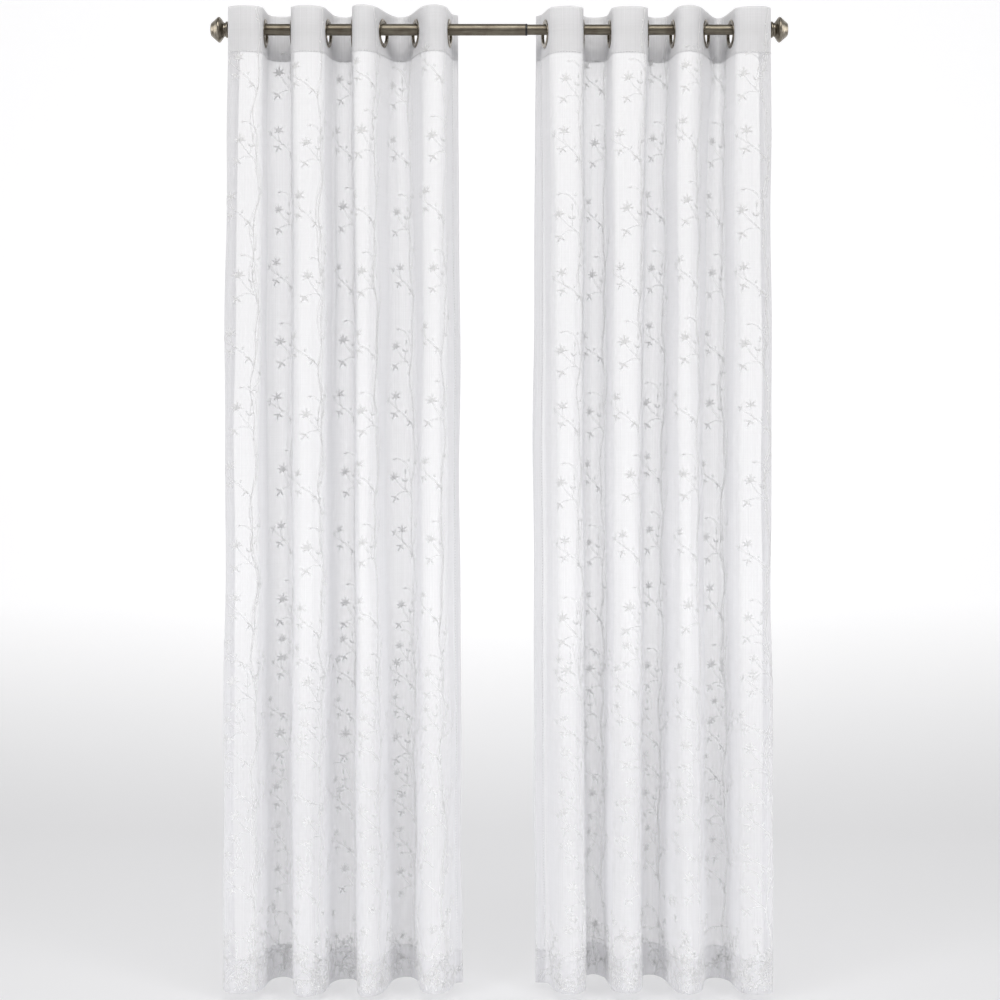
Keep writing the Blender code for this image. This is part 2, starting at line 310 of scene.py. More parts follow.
def fold_section(panel, drop, pitch, marks, across):
    """The cloth's line seen from above, read at these places across, in millimetres.

    The eyelets' columns of yarn stay on the crossings all the way down, as the grain does.
    """
    ease = min(1.0, drop / MIDDLE_AT)
    flat = FLAT_AT_HEADING - (FLAT_AT_HEADING - FLAT_AT_FOOT) * ease
    ways = [crossing_place(i, c, drop) for i, c in enumerate(panel.crossings)]
    place, way = ways[0]
    lead = edge_curve(place - way * flat, -way, panel.first_edge, drop)[::-1]
    points = [lead, place[None, :]]
    stations = [0.0, run_length(lead) + flat]
    for (place, way), (other, other_way), crossing in zip(ways, ways[1:], panel.crossings):
        cloth = pitch + (crossing.foot_cloth - pitch) * drop - 2 * flat
        start, end = place + way * flat, other - other_way * flat
        points += [fold_curve(start, way, end, other_way, cloth), other[None, :]]
        stations.append(stations[-1] + cloth + 2 * flat)
    place, way = ways[-1]
    tail = edge_curve(place + way * flat, way, panel.last_edge, drop)
    points.append(tail)
    stations.append(stations[-1] + flat + run_length(tail))
    line = np.concatenate(points)
    steps = np.linalg.norm(np.diff(line, axis=0), axis=1)
    along = np.concatenate(([0.0], np.cumsum(steps)))
    wanted = np.interp(across, marks, stations)
    wanted *= along[-1] / stations[-1]
    return np.interp(wanted, along, line[:, 0]), np.interp(wanted, along, line[:, 1])


def smooth_step(value):
    share = np.clip(value, 0.0, 1.0)
    return share * share * (3 - 2 * share)


def crease_height(panel, across, down):
    """How far the soft creases push the cloth out at these places, in millimetres."""
    out = np.zeros(np.broadcast(across, down).shape)
    for crease in panel.creases:
        share = (down - crease.top) / (crease.foot - crease.top)
        middle = crease.across + crease.drift * np.sin(2.4 * share + crease.across)
        width = crease.width * (1 + 0.35 * np.clip(share, 0, 1))
        profile = np.exp(-(((across - middle) / width) ** 2))
        fade = smooth_step((down - crease.top) / 160)
        if crease.foot < 2100:
            fade = fade * smooth_step((crease.foot - down) / 260)
        out = out + crease.out * profile * fade
    hang = smooth_step((down - 102) / 320)
    out = out + hang * 1.3 * np.sin(down / 118 + across / 61)
    return out + hang * 0.9 * np.sin(down / 67 - across / 43 + 0.4)


class HungCloth:
    """One panel's folds as a dense net of points, so that anything can be laid on the cloth."""

    def __init__(self, side):
        panel = PANELS[side]
        width, length, heading, pitch, eyelet_drop = in_mm(
            "cloth_sizes", "width", "length", "heading", "eyelet_pitch", "eyelet_drop"
        )
        (opening,) = in_mm("eyelet_sizes", "opening")
        side_cloth = (width - (EYELETS - 1) * pitch) / 2
        self.eyelets = [side_cloth + pitch * i for i in range(EYELETS)]
        marks = [0.0, *self.eyelets, width]
        self.across = np.linspace(0.0, width, int(width / 2) + 1)
        lower = np.linspace(heading, length, 170)[1:]
        self.down = np.concatenate((np.linspace(0.0, heading, 5), lower))

        flat_facet = opening * math.cos(math.pi / EYELET_FACETS)
        self.eyelet_height = panel.tube_radius + GAP / MM - flat_facet
        top = self.eyelet_height + eyelet_drop
        dips = [panel.first_edge.hem_dip, *(c.hem_dip for c in panel.crossings)]
        dips = np.interp(self.across, marks, [*dips, panel.last_edge.hem_dip])
        rows = []
        for down in self.down:
            drop = max(0.0, down - heading) / (length - heading)
            x, y = fold_section(panel, drop, pitch, marks, self.across)
            rows.append(np.stack((x, y, top - down - drop * dips), axis=1))
        net = np.array(rows)
        faces_room = self.facings(net)
        height = crease_height(panel, self.across[None, :], self.down[:, None])
        net += faces_room * height[:, :, None]
        self.net, self.facing = net * MM, self.facings(net)

    @staticmethod
    def facings(net):
        """The way the cloth's right side faces, at every point of the net."""
        run = np.gradient(net, axis=1)
        run /= np.linalg.norm(run, axis=2, keepdims=True)
        fall = np.gradient(net, axis=0)
        fall /= np.linalg.norm(fall, axis=2, keepdims=True)
        facing = np.cross(fall, run)
        return facing / np.linalg.norm(facing, axis=2, keepdims=True)

    def read(self, table, across, down):
        """The table's values between the net's points."""
        column = np.interp(across, self.across, np.arange(len(self.across)))
        row = np.interp(down, self.down, np.arange(len(self.down)))
        i = np.minimum(column.astype(int), len(self.across) - 2)
        j = np.minimum(row.astype(int), len(self.down) - 2)
        u, v = (column - i)[:, None], (row - j)[:, None]
        upper = table[j, i] * (1 - u) + table[j, i + 1] * u
        lower = table[j + 1, i] * (1 - u) + table[j + 1, i + 1] * u
        return upper * (1 - v) + lower * v

    def at(self, across, down, out):
        """Points this far out from the cloth's middle, all in millimetres."""
        facing = self.read(self.facing, across, down)
        return self.read(self.net, across, down) + facing * (out[:, None] * MM)


_cloths = {}


def hung_cloth(side):
    if side not in _cloths:
        _cloths[side] = HungCloth(side)
    return _cloths[side]


# ---- materials -------------------------------------------------------------------------


def add(tree, kind, values=None):
    """Adds a node. Each value is one of its settings, a socket's value or another's output."""
    node = tree.nodes.new(kind)
    for key, value in (values or {}).items():
        if isinstance(value, bpy.types.NodeSocket):
            tree.links.new(value, node.inputs[key])
        elif isinstance(key, str) and hasattr(node, key):
            setattr(node, key, value)
        else:
            node.inputs[key].default_value = value
    return node


def new_material(name):
    made = bpy.data.materials.new(name)
    made.use_nodes = True
    made.node_tree.nodes.clear()
    return made, made.node_tree


def opaque(colour):
    return (*colour, 1.0)


def scaled(tree, places, scale):
    """Coordinates scaled along each axis."""
    return add(tree, "ShaderNodeMapping", {"Scale": scale, "Vector": places}).outputs[0]


def noise(tree, places, scale, detail, dimensions="3D", roughness=0.5):
    """Soft noise over these coordinates, from 0 to 1."""
    values = {"noise_dimensions": dimensions, "Scale": scale, "Detail": detail}
    values |= {"Roughness": roughness, "Vector": places}
    return add(tree, "ShaderNodeTexNoise", values).outputs["Fac"]


def bands(tree, places, direction, scale):
    values = {"wave_type": "BANDS", "bands_direction": direction, "Scale": scale}
    return add(tree, "ShaderNodeTexWave", {**values, "Vector": places}).outputs["Fac"]


def ranged(tree, value, low, high, start=0.0, end=1.0):
    """A value taken from between start and end to between low and high."""
    values = {"From Min": start, "From Max": end, "To Min": low, "To Max": high}
    return add(tree, "ShaderNodeMapRange", {**values, "Value": value}).outputs[0]


def worked_out(tree, operation, *terms, clamp=False):
    """A sum or product of numbers and other nodes' values."""
    values = {"operation": operation, "use_clamp": clamp, **dict(enumerate(terms))}
    return add(tree, "ShaderNodeMath", values).outputs[0]


def bumps(tree, height, strength, distance):
    values = {"Strength": strength, "Distance": distance, "Height": height}
    return add(tree, "ShaderNodeBump", values).outputs[0]


def mixed(tree, share, first, second):
    """Two shaders mixed, with this share of the second."""
    values = {0: share, 1: first.outputs[0], 2: second.outputs[0]}
    return add(tree, "ShaderNodeMixShader", values)


def surfaced(material, shader):
    """The material, with this shader as its surface."""
    add(material.node_tree, "ShaderNodeOutputMaterial", {"Surface": shader.outputs[0]})
    return material


# A woven cloth: the share of it that is yarn, how far thick and thin yarns change that along
# it and across it, how much closer it looks edge on, and the share of the light falling on
# its yarns that they pass on.
Weave = namedtuple("Weave", "name colour cover streak weft edge_on through")
WEAVES = {
    # A plain weave of fine twisted yarn: sheer, matt and faintly streaky.
    "voile": Weave("polyester voile", "voile", 0.55, 0.14, 0.04, 0.40, 0.20),
    # A stiffened weave: denser than voile, and flat white.
    "tape": Weave("woven heading tape", "tape", 0.85, 0.06, 0.06, 0.1, 0.1),
}
# Pewter plate over steel or zinc: its grain's length along X, Y and Z in metres, and its
# roughness with how far that varies.
Plate = namedtuple("Plate", "name colour grain roughness spread")
PLATES = {
    "tube": Plate(
        "brushed pewter plate on steel tube", "pewter", (0.06, 0.0012, 0.0012), 0.43, 0.08
    ),
    "finial": Plate(
        "burnished pewter plate on cast zinc", "pewter_pale", (0.003, 0.012, 0.012), 0.36, 0.06
    ),
    "eyelet": Plate(
        "polished pewter plate on stamped steel", "pewter_pale", (0.004,) * 3, 0.26, 0.05
    ),
}


def woven_cover(tree, weave):
    """How much of the light the woven yarns stop, from 0 to 1.

    The voile's yarns are a third of a millimetre apart, which is finer than a render shows,
    so the weave is drawn 1.7 mm apart and the thick and thin yarns about 3 mm apart.
    """
    flat = add(tree, "ShaderNodeUVMap", {"uv_map": "cloth"}).outputs["UV"]
    warp_places = scaled(tree, flat, (1 / 0.0030, 1 / 0.45, 1.0))
    weft_places = scaled(tree, flat, (1 / 0.16, 1 / 0.0032, 1.0))
    tilt = add(tree, "ShaderNodeLayerWeight", {"Blend": 0.5}).outputs["Facing"]
    total = None
    for value, scale, offset in (
        (noise(tree, warp_places, 1.0, 2.0, "2D"), weave.streak, -weave.streak / 2),
        (noise(tree, weft_places, 1.0, 1.0, "2D"), weave.weft, weave.cover - weave.weft / 2),
        (bands(tree, flat, "DIAGONAL", 1 / 0.0038), 0.05, -0.025),
        (tilt, weave.edge_on, 0.0),
    ):
        part = worked_out(tree, "MULTIPLY_ADD", value, scale, offset)
        total = part if total is None else worked_out(tree, "ADD", total, part, clamp=True)
    return total


def sheer_material(weave):
    """Woven cloth that lets light between its yarns, and glows a little when lit behind."""
    made, tree = new_material(weave.name)
    colour = opaque(getattr(sizes("finishes"), weave.colour))
    cover = woven_cover(tree, weave)
    values = {"Base Color": colour, "Roughness": 0.85, "IOR": 1.45}
    values |= {"Specular IOR Level": 0.25, "Sheen Weight": 0.15}
    yarn = add(tree, "ShaderNodeBsdfPrincipled", values)
    glow = add(tree, "ShaderNodeBsdfTranslucent", {"Color": colour})
    clear = add(tree, "ShaderNodeBsdfTransparent")
    return surfaced(made, mixed(tree, cover, clear, mixed(tree, weave.through, yarn, glow)))


def thread_material():
    """Rayon embroidery thread in satin stitch: opaque, with a soft shine across its rows, and
    painted shade between its rows.

    The thread is 0.4 mm thick. Its rows are drawn 0.8 mm apart so that they show.
    """
    made, tree = new_material("rayon embroidery thread")
    white = opaque(sizes("finishes").thread)
    flat = add(tree, "ShaderNodeUVMap", {"uv_map": "stitches"}).outputs["UV"]
    values = {"Rotation": (0.0, 0.0, math.radians(24)), "Vector": flat}
    turned = add(tree, "ShaderNodeMapping", values).outputs["Vector"]
    rows = bands(tree, turned, "X", 0.314 / 0.0008)  # the node's bands are 0.314 apart
    # painted shade: the colour is up to 8 % darker in the grooves between the rows of stitches
    values = {"data_type": "RGBA", "blend_type": "MULTIPLY", "Factor": 1.0}
    values |= {6: white, 7: ranged(tree, rows, 0.92, 1.0)}
    colour = add(tree, "ShaderNodeMix", values).outputs[2]
    values = {"Roughness": 0.42, "IOR": 1.5, "Sheen Weight": 0.2}
    values |= {"Base Color": colour, "Normal": bumps(tree, rows, 0.5, 0.0003)}
    satin = add(tree, "ShaderNodeBsdfPrincipled", values)
    glow = add(tree, "ShaderNodeBsdfTranslucent", {"Color": white})
    return surfaced(made, mixed(tree, 0.25, satin, glow))


def pewter_material(plate):
    """Pewter plate, brushed and lightly darkened, under clear lacquer."""
    made, tree = new_material(plate.name)
    colours = sizes("finishes")
    place = add(tree, "ShaderNodeTexCoord").outputs["Object"]
    grain = scaled(tree, place, [1 / size for size in plate.grain])
    lines = noise(tree, grain, 1.0, 3.0, roughness=0.6)
    clouds = noise(tree, place, 1 / 0.022, 2.0)
    share = ranged(tree, worked_out(tree, "MULTIPLY_ADD", clouds, 0.5, lines), 0.0, 1.0, 0.5)
    values = {"data_type": "RGBA", 0: share, 6: opaque(colours.pewter_dark)}
    values[7] = opaque(getattr(colours, plate.colour))
    colour = add(tree, "ShaderNodeMix", values).outputs[2]
    low, high = plate.roughness - plate.spread, plate.roughness + plate.spread
    values = {"Metallic": 1.0, "Base Color": colour, "Roughness": ranged(tree, lines, low, high)}
    values["Normal"] = bumps(tree, lines, 0.12, 0.0004)
    return surfaced(made, add(tree, "ShaderNodeBsdfPrincipled", values))


def nylon_material():
    """Black nylon, injection moulded: dark, with a low gloss and a fine grain."""
    made, tree = new_material("moulded black nylon")
    place = add(tree, "ShaderNodeTexCoord").outputs["Object"]
    grain = noise(tree, place, 1 / 0.0012, 2.0)
    values = {"Base Color": opaque(sizes("finishes").nylon), "IOR": 1.53}
    values["Roughness"] = ranged(tree, grain, 0.42, 0.6)
    return surfaced(made, add(tree, "ShaderNodeBsdfPrincipled", values))


_materials = {}


def finish(name):
    """The material of this name, made the first time that it is asked for."""
    if name not in _materials:
        if name in WEAVES:
            _materials[name] = sheer_material(WEAVES[name])
        elif name in PLATES:
            _materials[name] = pewter_material(PLATES[name])
        else:
            makers = {"thread": thread_material, "nylon": nylon_material}
            _materials[name] = makers[name]()
    return _materials[name]


# ---- making pieces ---------------------------------------------------------------------


def piece_from(name, points, faces, uv_name=None, uvs=None):
    """An object of this mesh, with a UV map given for each point."""
    mesh = bpy.data.meshes.new(name)
    mesh.from_pydata(points.tolist(), [], faces)
    if uvs is not None:
        layer = mesh.uv_layers.new(name=uv_name)
        corners = np.zeros(len(mesh.loops), np.int32)
        mesh.loops.foreach_get("vertex_index", corners)
        layer.data.foreach_set("uv", uvs[corners].astype(np.float32).ravel())
    mesh.shade_smooth()
    mesh.update()
    piece = bpy.data.objects.new(name, mesh)
    bpy.context.scene.collection.objects.link(piece)
    return piece


def finish_piece(piece, material, slot, *nodes):
    """Gives a piece its finish, rides it on the hung body and hides what it stands for."""
    piece.data.materials.clear()
    piece.data.materials.append(finish(material))
    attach(piece, "root")
    if nodes:
        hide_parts(*nodes)
    return piece


def deselect_all():
    for piece in bpy.context.selected_objects:
        piece.select_set(False)


def select_edges(mesh, chosen):
    """Selects the chosen vertices and the edges between them, and no faces."""
    for vertex in mesh.vertices:
        vertex.select = chosen(vertex)
    for edge in mesh.edges:
        edge.select = all(mesh.vertices[i].select for i in edge.vertices)
    for face in mesh.polygons:
        face.select = False


def turned_piece(name, outline, facets, closed):
    """Models a turned shape along X as by hand: a circle, extruded and resized ring by ring.

    The outline is (out, radius) in millimetres. A closed one joins its last ring to its
    first, and an open one gets a round face on each end.
    """
    deselect_all()
    (start, radius), *rest = outline
    bpy.ops.mesh.primitive_circle_add(
        vertices=facets,
        radius=radius * MM,
        location=(start * MM, 0.0, 0.0),
        rotation=(0.0, math.pi / 2, 0.0),
    )
    piece = bpy.context.object
    piece.name = piece.data.name = name
    bpy.ops.object.transform_apply(location=True, rotation=True, scale=True)
    bpy.ops.object.mode_set(mode="EDIT")
    bpy.ops.mesh.select_all(action="SELECT")
    at, now = start, radius
    for out, wanted in rest:
        bpy.ops.mesh.extrude_edges_move(
            TRANSFORM_OT_translate={"value": ((out - at) * MM, 0.0, 0.0)}
        )
        if abs(wanted - now) > 1e-6:
            factor = wanted / now
            bpy.ops.transform.resize(
                value=(1.0, factor, factor), center_override=(out * MM, 0.0, 0.0)
            )
        at, now = out, wanted
    if closed:
        bpy.ops.object.mode_set(mode="OBJECT")
        last = len(piece.data.vertices) - facets
        select_edges(piece.data, lambda v: v.index < facets or v.index >= last)
        bpy.ops.object.mode_set(mode="EDIT")
        bpy.ops.mesh.select_mode(type="EDGE")
        bpy.ops.mesh.bridge_edge_loops()
    else:
        bpy.ops.mesh.select_all(action="SELECT")
        bpy.ops.mesh.fill_holes(sides=0)
    bpy.ops.mesh.select_all(action="SELECT")
    bpy.ops.mesh.normals_make_consistent(inside=False)
    bpy.ops.mesh.select_mode(type="VERT")
    bpy.ops.object.mode_set(mode="OBJECT")
    bpy.ops.object.shade_smooth_by_angle(angle=math.radians(38))
    piece.select_set(False)
    return piece


def place_mesh(piece, matrix):
    """Moves a piece's mesh, and leaves its object at the origin."""
    piece.data.transform(matrix)
    piece.data.update()
    return piece


def copy_piece(piece, name):
    """A copy with its own mesh."""
    copied = piece.copy()
    copied.data = piece.data.copy()
    copied.name = copied.data.name = name
    bpy.context.scene.collection.objects.link(copied)
    return copied


def rounded(corners, steps=5, bite=0.32):
    """An outline with its inner corners rounded off, each in this many steps."""
    made = [corners[0]]
    for before, corner, after in zip(corners, corners[1:], corners[2:]):
        before, corner, after = (np.array(p, float) for p in (before, corner, after))
        enter = corner + (before - corner) * bite
        leave = corner + (after - corner) * bite
        for t in np.linspace(0.0, 1.0, steps):
            point = enter * (1 - t) ** 2 + corner * 2 * t * (1 - t) + leave * t * t
            made.append(tuple(point))
    made.append(corners[-1])
    return made


# ---- the rod ---------------------------------------------------------------------------

# Each finial as (distance out from its collar's seat, radius).
FINIAL_OUTLINE = (
    (-14.5, 9.6),  # plug, inside the tube
    (0.0, 9.6),
    (0.0, 16.6),  # collar
    (0.8, 17.6),
    (3.6, 18.0),
    (4.6, 17.4),
    (5.3, 15.4),  # neck
    (8.6, 15.0),
    (10.2, 17.0),  # flare
    (13.5, 22.0),
    (17.2, 26.9),
    (19.4, 28.0),  # widest
    (21.6, 27.6),
    (25.0, 24.6),  # dome
    (30.0, 20.0),
    (34.6, 16.2),
    (37.2, 13.6),
    (38.0, 10.5),
    (38.3, 5.0),  # button end
)
FINIAL_LENGTH = 38.0  # of the plain model's finial, from its collar's seat
FINIAL_FACETS = 72
TUBE_FACETS = 64


def seat_places():
    """Where each finial's collar meets its tube, read from the plain model."""
    left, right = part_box("finial_left"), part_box("finial_right")
    return left[0].x / MM + FINIAL_LENGTH, right[1].x / MM - FINIAL_LENGTH


def tube_outline(start, end, radius, wall, first_ease, last_ease):
    """A tube's wall from end to end. Each end is eased over this (length, depth)."""
    return [
        (start, radius - wall),
        (start, radius - first_ease[1]),
        (start + first_ease[0], radius),
        (start + 40, radius),
        (end - 40, radius),
        (end - last_ease[0], radius),
        (end, radius - last_ease[1]),
        (end, radius - wall),
    ]


def build_tubes():
    outer, inner, wall, overlap, ring = in_mm(
        "rod_sizes", "outer_radius", "inner_radius", "wall", "overlap", "ring_width"
    )
    left_seat, right_seat = seat_places()
    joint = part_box("rod_outer_tube")[1].x / MM
    start, end = left_seat + 0.3, joint - ring
    outline = tube_outline(start, end, outer, wall, (0.3, 0.3), (0.4, 0.35))
    tube = turned_piece("curtain_rod_outer", outline, TUBE_FACETS, closed=True)
    finish_piece(tube, "tube", "rod_metal", "rod_outer_tube")

    bore = inner + 0.12
    outline = [
        (end + 0.1, bore),
        (end + 0.1, outer + 0.05),
        (end + 0.5, outer + 0.35),
        (joint - 1.2, outer + 0.35),
        (joint - 0.3, outer - 0.1),
        (joint, bore + 0.35),
        (joint, bore),
    ]
    end_ring = turned_piece("joint_ring", outline, TUBE_FACETS, closed=True)
    finish_piece(end_ring, "nylon", "rod_metal")

    start, end = joint - overlap, right_seat - 0.3
    outline = tube_outline(start, end, inner, wall, (0.3, 0.25), (0.3, 0.25))
    slider = turned_piece("curtain_rod_inner", outline, TUBE_FACETS, closed=True)
    finish_piece(slider, "tube", "rod_metal", "rod_inner_tube")


def build_finials():
    left_seat, right_seat = seat_places()
    outline = rounded(FINIAL_OUTLINE[2:], steps=3, bite=0.3)
    outline = [*FINIAL_OUTLINE[:2], *outline]
    first = turned_piece("finial", outline, FINIAL_FACETS, closed=False)
    second = copy_piece(first, "finial_cap_right")
    first.name = first.data.name = "finial_cap_left"
    half_turn = Matrix.Rotation(math.pi, 4, "Z")
    place_mesh(first, Matrix.Translation((left_seat * MM, 0.0, 0.0)) @ half_turn)
    place_mesh(second, Matrix.Translation((right_seat * MM, 0.0, 0.0)))
    finish_piece(first, "finial", "rod_metal", "finial_left")
    finish_piece(second, "finial", "rod_metal", "finial_right")


# ---- the eyelets -----------------------------------------------------------------------

EYELET_RING_FACETS = 64


def eyelet_outline():
    """A ring of U section as (out, radius): a barrel with a bowed flange on each face."""
    opening, flange, grip, rise = in_mm("eyelet_sizes", "opening", "flange", "grip", "rise")
    face = grip / 2
    half = [
        (0.0, opening),
        (face * 0.9, opening + 0.05),
        (face + rise * 0.45, opening + 0.55),
        (face + rise * 0.8, opening + 1.6),
        (face + rise * 0.97, opening + 3.2),
        (face + rise, opening + 4.8),
        (face + rise * 0.9, flange - 2.8),
        (face + rise * 0.6, flange - 1.1),
        (face + rise * 0.28, flange - 0.2),
        (face + 0.06, flange),
        (face, flange - 0.5),
        (face, opening + 1.6),
        (face - 0.5, opening + 1.1),
    ]
    other = [(-out, radius) for out, radius in half[:0:-1]]
    return half, other


def build_eyelets():
    half, other = eyelet_outline()
    ring = turned_piece("eyelet", [*half, *other], EYELET_RING_FACETS, closed=True)
    for side in SIDES:
        height = hung_cloth(side).eyelet_height
        for i, crossing in enumerate(PANELS[side].crossings):
            slant = math.radians(crossing.heading_slant)
            turn = slant if i % 2 == 0 else -slant
            copied = copy_piece(ring, f"eyelet_ring_{side}_{i + 1}")
            place = Matrix.Translation((crossing.heading_x * MM, 0.0, height * MM))
            spin = Matrix.Rotation(0.4 * i, 4, "X")
            place_mesh(copied, place @ Matrix.Rotation(turn, 4, "Z") @ spin)
            finish_piece(copied, "eyelet", "eyelet_metal", f"eyelet_{side}_{i + 1}")
    bpy.data.objects.remove(ring)


# ---- the cloth -------------------------------------------------------------------------

FACE_OUT = 0.6  # the face layer's place in the sewn thickness, towards the room
HEM_NOSE = 0.35  # how far a turned layer's fold rounds in from the edge


def turned_edge(inner, outer, step):
    """Places from a hem's raw edge out to its fold, spaced about this far apart."""
    count = max(2, int(round(abs(outer - inner) / step)))
    return list(np.linspace(inner, outer, count + 1))


def folded_grid(name, columns, rows, layers, side, holes):
    """A sheet through this grid of the flat cloth, with a hole at each eyelet.

    Columns and rows are (place, layer), and layers gives how far out each pair lies.
    """
    cloth = hung_cloth(side)
    across = np.array([c[0] for c in columns])
    down = np.array([r[0] for r in rows])
    grid_across, grid_down = np.meshgrid(across, down)
    out = np.array([[layers(c[1], r[1]) for c in columns] for r in rows])
    flat_across, flat_down = grid_across.ravel(), grid_down.ravel()
    (radius,) = in_mm("eyelet_sizes", "hole")
    (centre_down,) = in_mm("cloth_sizes", "eyelet_drop")
    kept = np.ones(len(flat_across), bool)
    near = []
    for centre in cloth.eyelets if holes else []:
        offset = np.stack((flat_across - centre, flat_down - centre_down), axis=1)
        distance = np.linalg.norm(offset, axis=1)
        kept &= distance >= radius
        near.append((centre, offset, distance))
    wide = len(columns)
    index = np.arange(len(flat_across)).reshape(len(rows), wide)
    quads = np.stack(
        (index[:-1, :-1], index[1:, :-1], index[1:, 1:], index[:-1, 1:]), axis=-1
    ).reshape(-1, 4)
    whole = kept[quads].all(axis=1)
    rim = np.zeros(len(flat_across), bool)
    rim[quads[~whole].ravel()] = True
    rim &= kept
    for centre, offset, distance in near:
        pull = rim & (distance < radius + 8)
        scale = radius / distance[pull]
        flat_across[pull] = centre + offset[pull, 0] * scale
        flat_down[pull] = centre_down + offset[pull, 1] * scale
    quads = quads[whole]
    used = np.unique(quads)
    renumber = np.full(len(flat_across), -1)
    renumber[used] = np.arange(len(used))
    points = cloth.at(flat_across[used], flat_down[used], out.ravel()[used])
    uvs = np.stack((flat_across[used], flat_down[used]), axis=1) * MM
    return piece_from(name, points, renumber[quads].tolist(), "cloth", uvs)


def build_voile(side):
    """One panel, with its heading, bottom and side hems turned to the back."""
    width, length, heading, bottom, hem, step, gap = in_mm(
        "cloth_sizes", "width", "length", "heading", "bottom_hem", "side_hem", "grid", "layer_gap"
    )
    nose = HEM_NOSE

    left = [(a, 1) for a in turned_edge(hem, nose, step)]
    face = [(a, 0) for a in turned_edge(nose, width - nose, step)]
    right = [(a, 1) for a in turned_edge(width - nose, width - hem, step)]
    columns = [*left, (0.0, 0.5), *face, (width, 0.5), *right]

    turned_heading = [(d, 2) for d in turned_edge(heading, nose, step)]
    upper = [(d, 0) for d in turned_edge(nose, heading, step)]
    lower = [(d, 0) for d in turned_edge(heading, length - nose, 17)[1:]]
    turned_hem = [(d, 3) for d in turned_edge(length - nose, length - bottom, 12)]
    rows = [*turned_heading, (0.0, 1), *upper, *lower, (length, 1.5), *turned_hem]

    def layers(column, row):
        """The face is the front layer, and a turned row lies behind what it is turned on."""
        back = {0: 0.0, 1: 1.5, 1.5: 1.5, 2: 3.0, 3: 3.0}[row]
        lies = column if back < 1.5 else (back - column if back == 3.0 else back)
        return FACE_OUT - lies * gap

    piece = folded_grid(f"voile_{side}", columns, rows, layers, side, holes=True)
    return finish_piece(piece, "voile", "voile", f"panel_{side}", f"heading_{side}")


def build_tape(side):
    """The heading tape, between the face and the turned heading."""
    width, heading, hem, step, gap = in_mm(
        "cloth_sizes", "width", "heading", "side_hem", "grid", "layer_gap"
    )
    columns = [(a, 0) for a in turned_edge(hem + 1, width - hem - 1, step)]
    rows = [(d, 0) for d in turned_edge(1.5, heading - 1.5, step)]
    piece = folded_grid(
        f"heading_tape_{side}", columns, rows, lambda *_: FACE_OUT - 1.5 * gap, side, holes=True
    )
    return finish_piece(piece, "tape", "heading_cloth")


# ---- the embroidery --------------------------------------------------------------------

Spot = namedtuple("Spot", "across down turn size mirror")  # a motif's root on the cloth
THREAD_LIFT = 0.2  # how far the edges of a strand stand off the face
STALK_TAPER = 1 - 0.55  # the share of its width that a stalk loses by its end
REAR_SHARE = 0.35  # of the border's motifs that are kept on the rear folds


class Stitchwork:
    """Gathers strands of thread laid on the flat cloth, in millimetres."""

    def __init__(self, width):
        self.width = width
        self.points, self.faces, self.uvs, self.count = [], [], [], 0

    def strand(self, line, widths, rises):
        """A satin-stitched line that stands in a low ridge on the face of the cloth."""
        line = np.asarray(line, float)
        line[:, 0] = np.clip(line[:, 0], 3.0, self.width - 3.0)
        way = np.gradient(line, axis=0)
        way /= np.maximum(np.linalg.norm(way, axis=1, keepdims=True), 1e-9)
        aside = np.stack((-way[:, 1], way[:, 0]), axis=1) * (widths[:, None] / 2)
        steps = np.linalg.norm(np.diff(line, axis=0), axis=1)
        along = np.concatenate(([0.0], np.cumsum(steps)))
        none = np.zeros(len(line))
        lines = (
            (line - aside, none, -widths / 2),
            (line, rises, none),
            (line + aside, none, widths / 2),
        )
        stations = [
            np.stack((spot[:, 0], spot[:, 1], out), axis=1) for spot, out, _ in lines
        ]
        self.points.append(np.stack(stations, axis=1).reshape(-1, 3))
        uv = [np.stack((along, across), axis=1) for _, _, across in lines]
        self.uvs.append(np.stack(uv, axis=1).reshape(-1, 2) * MM)
        for i in range(len(line) - 1):
            a = self.count + 3 * i
            self.faces.append((a, a + 1, a + 4, a + 3))
            self.faces.append((a + 1, a + 2, a + 5, a + 4))
        self.count += 3 * len(line)

    def piece(self, name, side):
        points = np.concatenate(self.points)
        (length,) = in_mm("cloth_sizes", "length")
        down = np.clip(points[:, 1], 1.5, length - 1.0)
        out = points[:, 2] + FACE_OUT + THREAD_LIFT
        placed = hung_cloth(side).at(points[:, 0], down, out)
        made = piece_from(name, placed, self.faces, "stitches", np.concatenate(self.uvs))
        made.data.set_sharp_from_angle(angle=math.radians(75))
        return made


def on_cloth(spot, points):
    """A motif's own points, x to its right and y up, laid on the flat cloth."""
    points = np.asarray(points, float) * spot.size
    turn = math.radians(spot.turn)
    x = points[:, 0] * spot.mirror
    across = x * math.cos(turn) + points[:, 1] * math.sin(turn)
    up = points[:, 1] * math.cos(turn) - x * math.sin(turn)
    return np.stack((spot.across + across, spot.down - up), axis=1)


def stalk(work, spot, corners, width, rise):
    """A curved line of thread through three or four guide points, thinner at its end."""
    corners = [np.array(c, float) for c in corners]
    if len(corners) == 3:
        a, b, c = corners
        corners = [a, a + (b - a) * 0.67, c + (b - c) * 0.67, c]
    steps = max(4, int(run_length(np.array(corners)) / 6))
    line = on_cloth(spot, bezier(*corners, steps))
    share = np.linspace(0.0, 1.0, steps + 1)
    widths = width * (1 - STALK_TAPER * share)
    work.strand(line, widths, rise * (0.75 + 0.25 * np.cos(share * 9)))


LEAF_SHARES = np.array((0.0, 0.12, 0.34, 0.58, 0.8, 1.0))
LEAF_SWELLS = np.array((0.22, 0.62, 1.0, 0.9, 0.52, 0.07))


